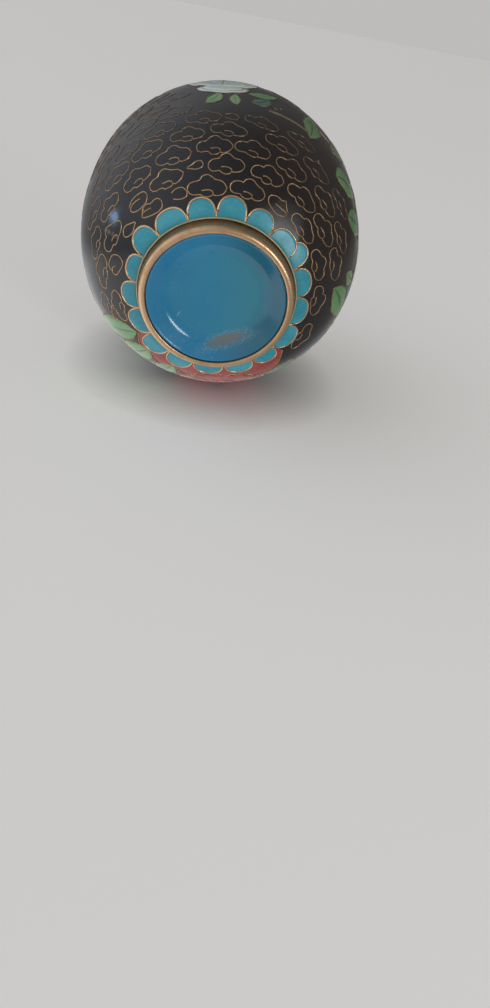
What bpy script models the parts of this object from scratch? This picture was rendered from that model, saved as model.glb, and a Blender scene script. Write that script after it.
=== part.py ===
"""Miniature cloisonne jar: a hollow enamelled copper body, a gilt foot ring and a gilt mouth rim.

The jar stands upright on its foot ring, with the ring's underside on z = 0 and its axis on Z.
Each piece is a turned shape: an outline of (radius, height) points that a Screw modifier carries
round the axis. All sizes are in metres.
"""

import math

import bpy

# Belly and shoulder
BELLY_RADIUS = 0.0224
BELLY_HEIGHT = 0.0223
LOWER_FULLNESS = 2.74  # 2 is an ellipse, more is fuller
SHOULDER_FULLNESS = 2.2
NECK_START_HEIGHT = 0.0398
NECK_START_RADIUS = 0.0108

# Neck and mouth
NECK_LENGTH = 0.0046
MOUTH_RADIUS = 0.0101
MOUTH_FLARE = math.radians(24)  # how far the neck leans outwards at the mouth
NECK_TIGHTNESS = 1.25  # how strongly the neck curve keeps to its end directions

# Wall and floor
WALL = 0.0013
FLOOR_THICKNESS = 0.0013  # over the dish's flat middle

# Foot ring
FOOT_INNER_RADIUS = 0.0103
FOOT_LIP_WIDTH = 0.0010
FOOT_FLARE = 0.00025  # how much wider the ring is at its top
FOOT_HEIGHT = 0.0018
FOOT_EDGE_RADIUS = 0.00034

# Enamel dish inside the foot ring: a flat middle and a band that climbs down the ring's inside
DISH_RISE = 0.0001  # of the flat middle above the plane that the ring is set against
DISH_FLAT_RADIUS = 0.0070
DISH_BEND_RADIUS = 0.0009  # between the flat middle and the band
DISH_SLOPE = math.radians(43)  # of the band where the bend ends
DISH_EDGE_SLOPE = math.radians(22)  # of the band at the ring
DISH_EDGE_HEIGHT = 0.00045  # above the table that the ring stands on

# Mouth rim
RIM_HEIGHT = 0.0013
RIM_OVERHANG = 0.0004
RIM_EDGE_RADIUS = 0.00045

# Fits
FIT_GAP = 0.0003  # between pieces that touch
FOOT_MARGIN = 0.0002  # how far the body's base reaches past the foot ring

# Fineness of the outlines
TURN_STEPS = 60
LOWER_POINTS = 11
SHOULDER_POINTS = 8
NECK_POINTS = 6
BEND_POINTS = 3
BAND_POINTS = 5
CORNER_POINTS = 3
MERGE_DISTANCE = 0.00001

# Worked out from the sizes above
FOOT_LIP_RADIUS = FOOT_INNER_RADIUS + FOOT_LIP_WIDTH
FOOT_TOP_RADIUS = FOOT_LIP_RADIUS + FOOT_FLARE
BASE_HEIGHT = FOOT_HEIGHT + FIT_GAP
BASE_RADIUS = FOOT_TOP_RADIUS + FOOT_MARGIN
DISH_HEIGHT = BASE_HEIGHT + DISH_RISE
FLOOR_HEIGHT = DISH_HEIGHT + FLOOR_THICKNESS
DISH_RADIUS = FOOT_INNER_RADIUS - FIT_GAP
MOUTH_HEIGHT = NECK_START_HEIGHT + NECK_LENGTH

ENAMEL = {"colour": (0.012, 0.013, 0.018, 1), "metallic": 0.0, "roughness": 0.18}
GILT = {"colour": (0.62, 0.36, 0.20, 1), "metallic": 1.0, "roughness": 0.32}


def full_curve(fullness, end_radius, end_height, count):
    """From the belly to a given end: (r / belly)^n + (rise / reach)^n = 1, with n the fullness."""
    rise = end_height - BELLY_HEIGHT
    reach = rise / (1 - (end_radius / BELLY_RADIUS) ** fullness) ** (1 / fullness)
    last = math.asin((rise / reach) ** (fullness / 2))
    points = []
    for i in range(count):
        angle = last * i / (count - 1)
        radius = BELLY_RADIUS * math.cos(angle) ** (2 / fullness)
        points.append((radius, BELLY_HEIGHT + reach * math.sin(angle) ** (2 / fullness)))
    return points


def hermite(start, start_way, end, end_way, count):
    """A cubic curve between two points that leaves and arrives along the given ways."""
    points = []
    for i in range(count):
        t = i / (count - 1)
        weights = (
            2 * t**3 - 3 * t**2 + 1,
            t**3 - 2 * t**2 + t,
            3 * t**2 - 2 * t**3,
            t**3 - t**2,
        )
        parts = (start, start_way, end, end_way)
        points.append(tuple(sum(w * p[k] for w, p in zip(weights, parts)) for k in (0, 1)))
    return points


def outer_outline():
    """The body's outside from the mouth down to its base."""
    shoulder = full_curve(SHOULDER_FULLNESS, NECK_START_RADIUS, NECK_START_HEIGHT, SHOULDER_POINTS)
    lower = full_curve(LOWER_FULLNESS, BASE_RADIUS, BASE_HEIGHT, LOWER_POINTS)
    step = [b - a for a, b in zip(shoulder[-2], shoulder[-1])]
    pull = NECK_LENGTH * NECK_TIGHTNESS
    start_way = [pull * s / math.hypot(*step) for s in step]
    end_way = [pull * math.sin(MOUTH_FLARE), pull * math.cos(MOUTH_FLARE)]
    neck = hermite(shoulder[-1], start_way, (MOUTH_RADIUS, MOUTH_HEIGHT), end_way, NECK_POINTS)
    return neck[::-1] + shoulder[-2::-1] + lower[1:]


def inner_outline(outer):
    """The outside moved inwards by the wall, from the mouth down to the floor."""
    inner = []
    for i, (radius, height) in enumerate(outer):
        before = outer[max(i - 1, 0)]
        after = outer[min(i + 1, len(outer) - 1)]
        down = (after[0] - before[0], after[1] - before[1])
        length = math.hypot(*down)
        inner.append((radius + WALL * down[1] / length, height - WALL * down[0] / length))
    inner[0] = (MOUTH_RADIUS - WALL, MOUTH_HEIGHT)
    above = [p for p in inner if p[1] > FLOOR_HEIGHT]
    below = [p for p in inner if p[1] <= FLOOR_HEIGHT]
    if below:
        (r0, h0), (r1, h1) = above[-1], below[0]
        above.append((r0 + (r1 - r0) * (h0 - FLOOR_HEIGHT) / (h0 - h1), FLOOR_HEIGHT))
    else:
        above.append((above[-1][0] - WALL, FLOOR_HEIGHT))
    return above


def dish_outline():
    """The enamel dish under the base, from its edge at the ring inwards: a slightly domed band that
    runs at its own slope into the bend, and an arc that turns it into the flat middle."""
    bend = []
    for i in range(BEND_POINTS, -1, -1):
        angle = DISH_SLOPE * i / BEND_POINTS
        radius = DISH_FLAT_RADIUS + DISH_BEND_RADIUS * math.sin(angle)
        bend.append((radius, DISH_HEIGHT - DISH_BEND_RADIUS * (1 - math.cos(angle))))
    edge = (DISH_RADIUS, DISH_EDGE_HEIGHT)
    length = math.hypot(edge[0] - bend[0][0], bend[0][1] - edge[1])
    edge_way = [-length * math.cos(DISH_EDGE_SLOPE), length * math.sin(DISH_EDGE_SLOPE)]
    bend_way = [-length * math.cos(DISH_SLOPE), length * math.sin(DISH_SLOPE)]
    band = hermite(edge, edge_way, bend[0], bend_way, BAND_POINTS)
    return [(DISH_RADIUS, BASE_HEIGHT)] + band + bend[1:]


def rounded(corners):
    """A closed outline whose corners (radius, height, rounding) are turned into arcs."""
    points = []
    for i, (x, y, rounding) in enumerate(corners):
        if rounding == 0:
            points.append((x, y))
            continue
        ways = []
        for other in (corners[i - 1], corners[(i + 1) % len(corners)]):
            span = math.hypot(other[0] - x, other[1] - y)
            ways.append(((other[0] - x) / span, (other[1] - y) / span))
        half = math.acos(ways[0][0] * ways[1][0] + ways[0][1] * ways[1][1]) / 2
        middle = (ways[0][0] + ways[1][0], ways[0][1] + ways[1][1])
        reach = rounding / math.sin(half) / math.hypot(*middle)
        centre = (x + middle[0] * reach, y + middle[1] * reach)
        touch = rounding / math.tan(half)
        start = [x + ways[0][0] * touch - centre[0], y + ways[0][1] * touch - centre[1]]
        end = [x + ways[1][0] * touch - centre[0], y + ways[1][1] * touch - centre[1]]
        first = math.atan2(start[1], start[0])
        turn = math.remainder(math.atan2(end[1], end[0]) - first, math.tau)
        for k in range(CORNER_POINTS + 1):
            angle = first + turn * k / CORNER_POINTS
            points.append((centre[0] + rounding * math.cos(angle), centre[1] + rounding * math.sin(angle)))
    return points


def foot_outline():
    """The foot ring's section: a flared outer side, a lip with rounded edges and an upright bore."""
    return rounded(
        [
            (FOOT_TOP_RADIUS, FOOT_HEIGHT, 0),
            (FOOT_LIP_RADIUS, 0, FOOT_EDGE_RADIUS),
            (FOOT_INNER_RADIUS, 0, FOOT_EDGE_RADIUS),
            (FOOT_INNER_RADIUS, FOOT_HEIGHT, 0),
        ]
    )


def rim_outline():
    """The mouth rim's section: a rounded band that caps the end of the neck."""
    bottom = MOUTH_HEIGHT + FIT_GAP
    top = bottom + RIM_HEIGHT
    outer = MOUTH_RADIUS + RIM_OVERHANG
    inner = MOUTH_RADIUS - WALL
    return rounded(
        [
            (outer, top, RIM_EDGE_RADIUS),
            (outer, bottom, RIM_EDGE_RADIUS),
            (inner, bottom, 0),
            (inner, top, RIM_EDGE_RADIUS),
        ]
    )


def finish(name, look):
    """A material with one Principled shader."""
    material = bpy.data.materials.new(name)
    material.use_nodes = True
    shader = material.node_tree.nodes["Principled BSDF"]
    shader.inputs["Base Color"].default_value = look["colour"]
    shader.inputs["Metallic"].default_value = look["metallic"]
    shader.inputs["Roughness"].default_value = look["roughness"]
    return material


def turned(name, outline, closed, look, collection):
    """An object that a Screw modifier turns from an outline round the Z axis."""
    mesh = bpy.data.meshes.new(name)
    count = len(outline)
    edges = [(i, i + 1) for i in range(count - 1)]
    if closed:
        edges.append((count - 1, 0))
    mesh.from_pydata([(radius, 0, height) for radius, height in outline], edges, [])
    mesh.materials.append(finish(name, look))
    piece = bpy.data.objects.new(name, mesh)
    collection.objects.link(piece)
    screw = piece.modifiers.new("turn", "SCREW")
    screw.axis = "Z"
    screw.angle = math.tau
    screw.steps = TURN_STEPS
    screw.render_steps = TURN_STEPS
    screw.use_merge_vertices = True
    screw.merge_threshold = MERGE_DISTANCE
    screw.use_smooth_shade = True
    return piece


def body_outline():
    """The whole wall: from the floor's middle up the inside, over the mouth and down to the base's."""
    outer = outer_outline()
    inside = inner_outline(outer)[::-1]
    return [(0, FLOOR_HEIGHT)] + inside + outer + dish_outline() + [(0, DISH_HEIGHT)]


def build():
    for item in list(bpy.data.objects):
        bpy.data.objects.remove(item, do_unlink=True)
    jar = bpy.data.collections.new("Miniature cloisonne jar")
    bpy.context.scene.collection.children.link(jar)
    turned("body", body_outline(), False, ENAMEL, jar)
    turned("foot_ring", foot_outline(), True, GILT, jar)
    turned("mouth_rim", rim_outline(), True, GILT, jar)


build()
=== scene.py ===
import math

import bpy
import numpy as np
from mathutils import Matrix, Vector


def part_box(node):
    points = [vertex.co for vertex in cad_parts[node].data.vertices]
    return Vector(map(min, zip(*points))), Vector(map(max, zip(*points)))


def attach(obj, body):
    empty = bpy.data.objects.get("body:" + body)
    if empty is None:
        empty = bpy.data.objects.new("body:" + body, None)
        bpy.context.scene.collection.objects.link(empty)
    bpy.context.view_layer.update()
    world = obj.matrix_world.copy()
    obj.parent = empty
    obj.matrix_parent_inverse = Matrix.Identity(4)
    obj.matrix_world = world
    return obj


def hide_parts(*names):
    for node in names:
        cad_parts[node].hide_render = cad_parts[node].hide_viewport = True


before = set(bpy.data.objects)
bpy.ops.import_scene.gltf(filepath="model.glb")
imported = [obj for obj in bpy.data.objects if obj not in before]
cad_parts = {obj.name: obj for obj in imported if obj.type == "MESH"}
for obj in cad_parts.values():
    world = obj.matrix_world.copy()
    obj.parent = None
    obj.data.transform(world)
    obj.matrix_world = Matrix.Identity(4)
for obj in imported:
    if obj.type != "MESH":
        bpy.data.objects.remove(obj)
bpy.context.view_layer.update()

# Lengths are in millimetres until a mesh is made. Places on the jar are a turn round its axis in
# degrees and an arc, the way up its outside from the foot.
mm = 0.001

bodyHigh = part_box("body")[1]
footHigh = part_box("foot_ring")[1]
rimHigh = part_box("mouth_rim")[1]

jar = {
    "bellyRadius": bodyHigh.x / mm,
    "bellyHeight": 22.3,
    "lowerFullness": 2.74,  # 2 is an ellipse, more is fuller
    "shoulderFullness": 2.2,
    "base": (11.75, 2.1),  # radius and height where the outside begins, at the foot
    "neckStart": (10.8, 39.8),
    "mouth": (10.1, bodyHigh.z / mm),
    "mouthFlare": 24,  # degrees
    "neckTightness": 1.25,
    "wall": 1.3,
    "floor": 3.5,
    "turnSteps": 288,
    "curvePoints": 900,
    "neckPoints": 200,
    "outlinePoints": 2400,
}


def fullCurve(fullness, end, count):
    # From the belly to an end: (radius / belly)^n + (rise / reach)^n = 1, with n the fullness
    rise = end[1] - jar["bellyHeight"]
    reach = rise / (1 - (end[0] / jar["bellyRadius"]) ** fullness) ** (1 / fullness)
    last = math.asin((rise / reach) ** (fullness / 2))
    angle = np.linspace(0, last, count)
    radius = jar["bellyRadius"] * np.cos(angle) ** (2 / fullness)
    return np.column_stack([radius, jar["bellyHeight"] + reach * np.sin(angle) ** (2 / fullness)])


def hermite(start, startWay, end, endWay, count):
    # The cubic that leaves the start and reaches the end along the given ways
    t = np.linspace(0, 1, count)[:, None]
    weights = (2 * t**3 - 3 * t**2 + 1, t**3 - 2 * t**2 + t, 3 * t**2 - 2 * t**3, t**3 - t**2)
    return sum(w * np.asarray(p, float) for w, p in zip(weights, (start, startWay, end, endWay)))


def lengthAlong(points):
    # How far along the line each of its points is
    return np.concatenate([[0], np.cumsum(np.linalg.norm(np.diff(points, axis=0), axis=1))])


def evenly(points, count):
    # The same line with its points evenly spaced along it
    way = lengthAlong(points)
    steps = np.linspace(0, way[-1], count)
    return np.column_stack([np.interp(steps, way, points[:, k]) for k in range(points.shape[1])])


def outsideOutline():
    # Foot to mouth: the lower half, the shoulder and the neck's flare
    lower = fullCurve(jar["lowerFullness"], jar["base"], jar["curvePoints"])[::-1]
    shoulder = fullCurve(jar["shoulderFullness"], jar["neckStart"], jar["curvePoints"])
    leaving = shoulder[-1] - shoulder[-2]
    pull = (jar["mouth"][1] - jar["neckStart"][1]) * jar["neckTightness"]
    flare = math.radians(jar["mouthFlare"])
    neck = hermite(
        shoulder[-1],
        pull * leaving / np.linalg.norm(leaving),
        jar["mouth"],
        (pull * math.sin(flare), pull * math.cos(flare)),
        jar["neckPoints"],
    )
    return evenly(np.vstack([lower, shoulder[1:], neck[1:]]), jar["outlinePoints"])


outside = outsideOutline()
outsideArc = lengthAlong(outside)
outsideWay = np.gradient(outside, axis=0)
outsideWay /= np.linalg.norm(outsideWay, axis=1)[:, None]
neckArc = float(outsideArc[np.argmin(np.hypot(*(outside - jar["neckStart"]).T))])
mouthArc = float(outsideArc[-1])


def radiusAt(arc):
    # The outside's radius at an arc
    return np.interp(arc, outsideArc, outside[:, 0])


def onJar(turn, arc, lift):
    # The point at that turn and arc, moved off the surface by the lift along the outline's normal
    turn, arc = np.radians(turn), np.asarray(arc, float)
    wayR = np.interp(arc, outsideArc, outsideWay[:, 0])
    wayZ = np.interp(arc, outsideArc, outsideWay[:, 1])
    radius = radiusAt(arc) + wayZ * lift
    height = np.interp(arc, outsideArc, outside[:, 1]) - wayR * lift
    return np.stack([radius * np.cos(turn), radius * np.sin(turn), height + 0 * turn], -1)


def near(turn, arc, sideways, upwards):
    # Turn and arc of a place so many millimetres sideways and upwards from another on the surface
    there = arc + np.asarray(upwards, float)
    return turn + np.degrees(np.asarray(sideways, float) / radiusAt(there)), there


# Shader numbers and colours

class Level:
    # A number in a material's or the world's nodes, with + - * / ** as Math nodes
    def __init__(self, nodes, socket):
        self.nodes, self.socket = nodes, socket

    def math(self, operation, *others):
        inputs = dict(enumerate((self, *others)))
        return self.nodes.level("ShaderNodeMath", {"operation": operation}, inputs)

    def __add__(self, other):
        return self.math("ADD", other)

    def __sub__(self, other):
        return self.math("SUBTRACT", other)

    def __mul__(self, other):
        return self.math("MULTIPLY", other)

    def __truediv__(self, other):
        return self.math("DIVIDE", other)

    def __pow__(self, other):
        return self.math("POWER", other)

    def __rsub__(self, other):
        return self * -1 + other

    __radd__ = __add__
    __rmul__ = __mul__

    def between(self, low, high, top=1.0):
        # 0 at low, the top at high, smooth between
        settings = {"interpolation_type": "SMOOTHSTEP"}
        inputs = {"Value": self, "From Min": low, "From Max": high, "To Max": top}
        return self.nodes.level("ShaderNodeMapRange", settings, inputs)


class Nodes:
    # The nodes of one material or world
    def __init__(self, owner):
        owner.use_nodes = True
        self.tree = owner.node_tree

    def node(self, kind, settings, inputs):
        # Settings come first, then the values or links of the sockets, by name or number
        made = self.tree.nodes.new(kind)
        for setting, value in settings.items():
            setattr(made, setting, value)
        for key, value in inputs.items():
            value = getattr(value, "socket", value)
            if isinstance(value, bpy.types.NodeSocket):
                self.tree.links.new(value, made.inputs[key])
            else:
                made.inputs[key].default_value = value
        return made

    def level(self, kind, settings, inputs):
        return Level(self, self.node(kind, settings, inputs).outputs[0])

    def mix(self, share, first, second):
        # Colours blended by a share
        inputs = {0: share, 6: asColour(first), 7: asColour(second)}
        return self.node("ShaderNodeMix", {"data_type": "RGBA"}, inputs).outputs[2]


class Paint(Nodes):
    # One procedural material; places in it are object coordinates in millimetres
    def __init__(self, name, **plain):
        self.material = bpy.data.materials.new(name)
        super().__init__(self.material)
        self.shader = self.tree.nodes["Principled BSDF"]
        for socket, value in plain.items():
            self.shader.inputs[socket.replace("_", " ")].default_value = value
        metres = self.node("ShaderNodeTexCoord", {}, {}).outputs["Object"]
        scaled = self.node("ShaderNodeVectorMath", {"operation": "SCALE"}, {0: metres, "Scale": 1 / mm})
        self.place = scaled.outputs[0]
        parts = self.node("ShaderNodeSeparateXYZ", {}, {0: self.place})
        self.x, self.y, self.z = (Level(self, parts.outputs[i]) for i in range(3))

    def noise(self, scale, detail=2.0, place=None, roughness=0.5):
        inputs = {"Vector": place or self.place, "Scale": scale, "Detail": detail, "Roughness": roughness}
        return self.level("ShaderNodeTexNoise", {}, inputs)

    def specks(self, scale, size, patchScale, patches):
        # Dots at scattered points, sized in the points' own spacing, only where a slow noise is high
        nearest = self.level("ShaderNodeTexVoronoi", {}, {"Vector": self.place, "Scale": scale})
        return (1 - nearest.between(*size)) * self.noise(patchScale, 1.0).between(*patches)

    def far(self, point):
        # Millimetres to a point
        inputs = {0: self.place, 1: point}
        made = self.node("ShaderNodeVectorMath", {"operation": "DISTANCE"}, inputs)
        return Level(self, made.outputs["Value"])

    def fromAxis(self):
        # Millimetres from the jar's axis
        return (self.x * self.x + self.y * self.y) ** 0.5

    def vector(self, x, y, z):
        return self.node("ShaderNodeCombineXYZ", {}, {0: x, 1: y, 2: z}).outputs[0]

    def attribute(self, name):
        # A value that the mesh holds at its points
        made = self.node("ShaderNodeAttribute", {"attribute_name": name}, {})
        return Level(self, made.outputs["Fac"])

    def used(self, socket):
        # What the shader takes there so far
        return Level(self, self.shader.inputs[socket].links[0].from_socket)

    def use(self, **links):
        # What the shader's sockets take, with _ for a space in their names
        for socket, value in links.items():
            value = getattr(value, "socket", value)
            self.tree.links.new(value, self.shader.inputs[socket.replace("_", " ")])

    def bump(self, height, depth):
        # Dents of that depth in millimetres where the height goes from 1 to 0
        made = self.node("ShaderNodeBump", {}, {"Height": height, "Distance": depth * mm})
        self.tree.links.new(made.outputs[0], self.shader.inputs["Normal"])


def asColour(colour):
    # Three numbers get an alpha of 1
    return (*colour, 1) if isinstance(colour, tuple) and len(colour) == 3 else colour


def fromPicture(red, green, blue):
    # A picture's 0 to 255 values as the linear colour that shaders take
    return tuple(
        c / 12.92 if c <= 0.04045 else ((c + 0.055) / 1.055) ** 2.4
        for c in (red / 255, green / 255, blue / 255)
    )


# Meshes

def gridFaces(rows, columns, rowsClosed, columnsClosed):
    # Quads between neighbouring points of a grid whose points are numbered row by row
    a, b = np.meshgrid(
        np.arange(rows if rowsClosed else rows - 1),
        np.arange(columns if columnsClosed else columns - 1),
        indexing="ij",
    )
    nextA, nextB = (a + 1) % rows, (b + 1) % columns
    corners = (a * columns + b, a * columns + nextB, nextA * columns + nextB, nextA * columns + b)
    return np.stack(corners, -1).reshape(-1, 4)


def signedVolume(points, faces):
    # Six times the volume, above 0 where the faces point outwards
    total = 0.0
    for corners in (faces[:, [0, 1, 2]], faces[:, [0, 2, 3]]):
        a, b, c = (points[corners[:, k]] for k in range(3))
        total += float(np.einsum("ij,ij->i", a, np.cross(b, c)).sum())
    return total


def outwards(points, faces):
    # The faces as they are if they point outwards, or turned round
    middle = points.mean(0)
    return faces if signedVolume(points - middle, faces) > 0 else faces[:, ::-1]


class Heap:
    # Closed shapes that are gathered into one mesh, with an optional value at each point
    def __init__(self):
        self.points, self.faces, self.tones, self.count = [], [], [], 0

    def add(self, points, faces, tone=0.0):
        points = np.asarray(points, float).reshape(-1, 3)
        self.faces.append(outwards(points, faces) + self.count)
        self.points.append(points)
        self.tones.append(np.broadcast_to(np.asarray(tone, float).ravel(), len(points)))
        self.count += len(points)

    def make(self, name, paint, slot):
        tones = np.concatenate(self.tones)
        return makePiece(name, np.vstack(self.points), np.vstack(self.faces), paint, tones)


def makePiece(name, points, faces, paint, tones=None):
    # A mesh at the origin, with its paint, on the jar's one body
    mesh = bpy.data.meshes.new(name)
    corners = [list(dict.fromkeys(face)) for face in faces.tolist()]  # a pole's quads are triangles
    mesh.from_pydata((points * mm).tolist(), [], corners)
    if tones is not None:
        mesh.attributes.new("tone", "FLOAT", "POINT").data.foreach_set("value", tones.astype(np.float32))
    mesh.shade_smooth()
    mesh.materials.append(paint.material)
    piece = bpy.data.objects.new(name, mesh)
    bpy.context.scene.collection.objects.link(piece)
    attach(piece, "root")
    print(f"{name}: {len(points)} points, {len(corners)} faces")
    return piece


def turnedPoints(outline, steps):
    # An outline of (radius, height) carried round the axis: x = r cos, y = r sin
    turn = np.linspace(0, math.tau, steps, endpoint=False)[:, None]
    radius, height = outline[:, 0], outline[:, 1]
    return np.stack([radius * np.cos(turn), radius * np.sin(turn), height + 0 * turn], -1)


def turned(name, outline, steps, paint, closed=True, ripple=None):
    # A turned piece; an outline that starts and ends on the axis is closed by its two poles
    outline = np.asarray(outline, float)
    points = turnedPoints(outline, steps)
    if ripple:
        points = ripple(points)
    rows, columns = points.shape[:2]
    numbers = np.arange(rows * columns).reshape(rows, columns)
    numbers[:, outline[:, 0] == 0] = numbers[0, outline[:, 0] == 0]
    faces = numbers.ravel()[gridFaces(rows, columns, True, closed)]
    used, faces = np.unique(faces, return_inverse=True)
    points = points.reshape(-1, 3)[used]
    faces = outwards(points, faces.reshape(-1, 4))
    return makePiece(name, points, faces, paint)


def roundedOutline(corners, cornerPoints=6):
    # A closed outline whose corners (radius, height, rounding) are turned into arcs
    points = []
    for i, (x, y, rounding) in enumerate(corners):
        here = np.array([x, y])
        before = np.array(corners[i - 1][:2]) - here
        after = np.array(corners[(i + 1) % len(corners)][:2]) - here
        before, after = before / np.linalg.norm(before), after / np.linalg.norm(after)
        if rounding == 0:
            points.append(here)
            continue
        half = math.acos(float(before @ after)) / 2
        middle = (before + after) / np.linalg.norm(before + after)
        centre = here + middle * rounding / math.sin(half)
        start = here + before * rounding / math.tan(half) - centre
        end = here + after * rounding / math.tan(half) - centre
        first = math.atan2(start[1], start[0])
        turn = math.remainder(math.atan2(end[1], end[0]) - first, math.tau)
        angles = first + turn * np.linspace(0, 1, cornerPoints + 1)
        points.extend(centre + rounding * np.column_stack([np.cos(angles), np.sin(angles)]))
    return np.array(points)


def smoothLine(controls, count, closed=False):
    # A Catmull-Rom curve through the control points, with its points evenly spaced
    controls = np.asarray(controls, float)
    if closed:
        padded = np.vstack([controls[-1], controls, controls[:2]])
    else:
        ends = (2 * controls[0] - controls[1], 2 * controls[-1] - controls[-2])
        padded = np.vstack([ends[0], controls, ends[1]])
    t = np.linspace(0, 1, 12, endpoint=False)[:, None]
    parts = []
    for p0, p1, p2, p3 in zip(padded, padded[1:], padded[2:], padded[3:]):
        part = 2 * p1 + (p2 - p0) * t + (2 * p0 - 5 * p1 + 4 * p2 - p3) * t**2
        parts.append((part + (3 * p1 - p0 - 3 * p2 + p3) * t**3) / 2)
    line = np.vstack(parts + [padded[-2][None]])
    line = evenly(line, count + 1 if closed else count)
    return line[:-1] if closed else line


# How wide a wire is, and how far wires and enamel cells stand off the skin and reach into it
wire = {"width": 0.22, "lift": 0.045, "sink": 0.12, "cellLift": 0.03, "cellSink": 0.1}


def addWire(heap, turns, arcs, width=None, closed=False):
    # A flat-topped wire: a triangle carried along a line on the jar, its edge below the enamel and
    # its flat side just above
    turns, arcs = np.asarray(turns, float), np.asarray(arcs, float)
    base = onJar(turns, arcs, 0.0)
    normal = onJar(turns, arcs, 1.0) - base
    if closed:
        along = np.roll(base, -1, 0) - np.roll(base, 1, 0)
    else:
        along = np.gradient(base, axis=0)
    along /= np.linalg.norm(along, axis=1)[:, None]
    side = np.cross(normal, along)
    half = (wire["width"] if width is None else width) / 2
    section = ((-half, wire["lift"]), (half, wire["lift"]), (0, -wire["sink"]))
    rings = np.stack([base + side * across + normal * up for across, up in section], 1)
    faces = gridFaces(len(base), 3, closed, True)
    if not closed:
        last = 3 * (len(base) - 1)
        caps = np.array([[2, 1, 0, 0], [last, last + 1, last + 2, last + 2]])
        faces = np.vstack([faces, caps])
    heap.add(rings, faces)


def addCell(heap, turns, arcs, tone=0.0, lift=None):
    # A thin slab of enamel: a grid on the jar, the same grid below the surface, and the sides
    lift = wire["cellLift"] if lift is None else lift
    rows, columns = turns.shape
    top = onJar(turns, arcs, lift).reshape(-1, 3)
    low = onJar(turns, arcs, -wire["cellSink"]).reshape(-1, 3)
    grid = gridFaces(rows, columns, False, False)
    numbers = np.arange(rows * columns).reshape(rows, columns)
    rim = np.concatenate([numbers[0, :-1], numbers[:-1, -1], numbers[-1, :0:-1], numbers[:0:-1, 0]])
    nextRim = np.roll(rim, -1)
    sides = np.column_stack([rim, rim + len(top), nextRim + len(top), nextRim])
    tones = np.broadcast_to(np.asarray(tone, float), turns.shape).ravel()
    heap.add(np.vstack([top, low]), np.vstack([grid, grid[:, ::-1] + len(top), sides]),
             np.concatenate([tones, tones]))


# Finishes

def enamel(name, deep, light, roughness=0.13, cloudiness=0.35, paleSpecks=0.5, root=None, rootReach=0.5,
           shine=0.5):
    # Fired glass: two tones in slow drifts, fine pale and dark specks, pits and a faint waviness;
    # the root's colour lies where a petal starts or along a leaf's middle
    paint = Paint(name, IOR=1.5, Specular_IOR_Level=shine)
    drift = paint.noise(0.22, 3.0).between(0.35, 0.68)
    grain = paint.noise(2.6, 2.0).between(0.3, 0.72)
    share = drift * (1 - cloudiness) + grain * cloudiness
    colour = paint.mix(share, deep, light)
    if root:
        colour = paint.mix(paint.attribute("tone").between(0.0, rootReach), root, colour)
    pale = paint.specks(1.7, (0.05, 0.13), 0.9, (0.52, 0.66)) * paleSpecks
    colour = paint.mix(pale, colour, tuple(min(1.0, c * 1.5 + 0.12) for c in light))
    pit = paint.specks(1.15, (0.03, 0.09), 0.7, (0.5, 0.62))
    colour = paint.mix(pit * 0.75, colour, tuple(c * 0.2 for c in deep))
    paint.use(Base_Color=colour, Roughness=paint.noise(0.5, 3.0).between(0.4, 0.8) * 0.12 + roughness)
    waves = paint.noise(0.55, 2.0) * 0.75 - pit * 0.4 + paint.noise(3.5, 2.0) * 0.06
    paint.bump(waves, 0.035)
    return paint


black = {
    # a wide brown cast and a patch of it: centre in mm, where it ends and is full, and strength
    "brown": ((20.5, 4.0, 16.0), 27.0, 9.0, 0.45),
    "brownPatch": ((21.6, -2.6, 19.0), 5.0, 1.5, 0.55),
    # a matt place: turn, arc, where it ends and is full in mm, and how much rougher it is
    "rubbed": (-8, 3.6, 3.8, 1.4, 0.26),
    # worn and chipped places: turn, arc, size in mm, strength and colour
    "marks": (
        (-113.5, 7.3, 0.45, 0.3, (0.26, 0.22, 0.17)),
        (-113, 6.6, 0.55, 0.35, (0.26, 0.22, 0.17)),
        (-112.3, 5.8, 0.5, 0.3, (0.26, 0.22, 0.17)),
        (-111.5, 5.1, 0.35, 0.25, (0.26, 0.22, 0.17)),
        (-82, 18.2, 0.35, 0.9, (0.002, 0.002, 0.002)),
        (-7.7, 14.5, 0.22, 0.7, (0.45, 0.42, 0.36)),
        (-28.5, 20.6, 0.4, 0.6, (0.42, 0.24, 0.12)),
        (-26.5, 21.5, 0.25, 0.7, (0.5, 0.44, 0.34)),
    ),
}


def blackGround():
    # Black enamel with a brown cast on one side, fine dust marks, worn marks and a rubbed place
    paint = enamel("blackEnamel", (0.0075, 0.008, 0.011), (0.014, 0.0145, 0.018), 0.12, 0.4, 0.0)
    brown, patch = (
        paint.far(centre).between(end, full) * strength
        for centre, end, full, strength in (black["brown"], black["brownPatch"])
    )
    colour = paint.mix(brown + patch, paint.used("Base Color"), (0.036, 0.022, 0.015))
    dust = paint.specks(2.3, (0.03, 0.08), 0.8, (0.55, 0.66))
    colour = paint.mix(dust * 0.35, colour, (0.16, 0.15, 0.14))
    for turn, arc, size, strength, tint in black["marks"]:
        reach = paint.far(tuple(onJar(turn, arc, 0.0).tolist()))
        edge = reach + (paint.noise(2.5, 3.0) - 0.5) * size
        colour = paint.mix(edge.between(size, size * 0.4) * strength, colour, tint)
    turn, arc, end, full, matt = black["rubbed"]
    rubbed = paint.far(tuple(onJar(turn, arc, 0.0).tolist())).between(end, full)
    paint.use(Base_Color=colour, Roughness=paint.used("Roughness") + rubbed * matt)
    return paint


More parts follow.
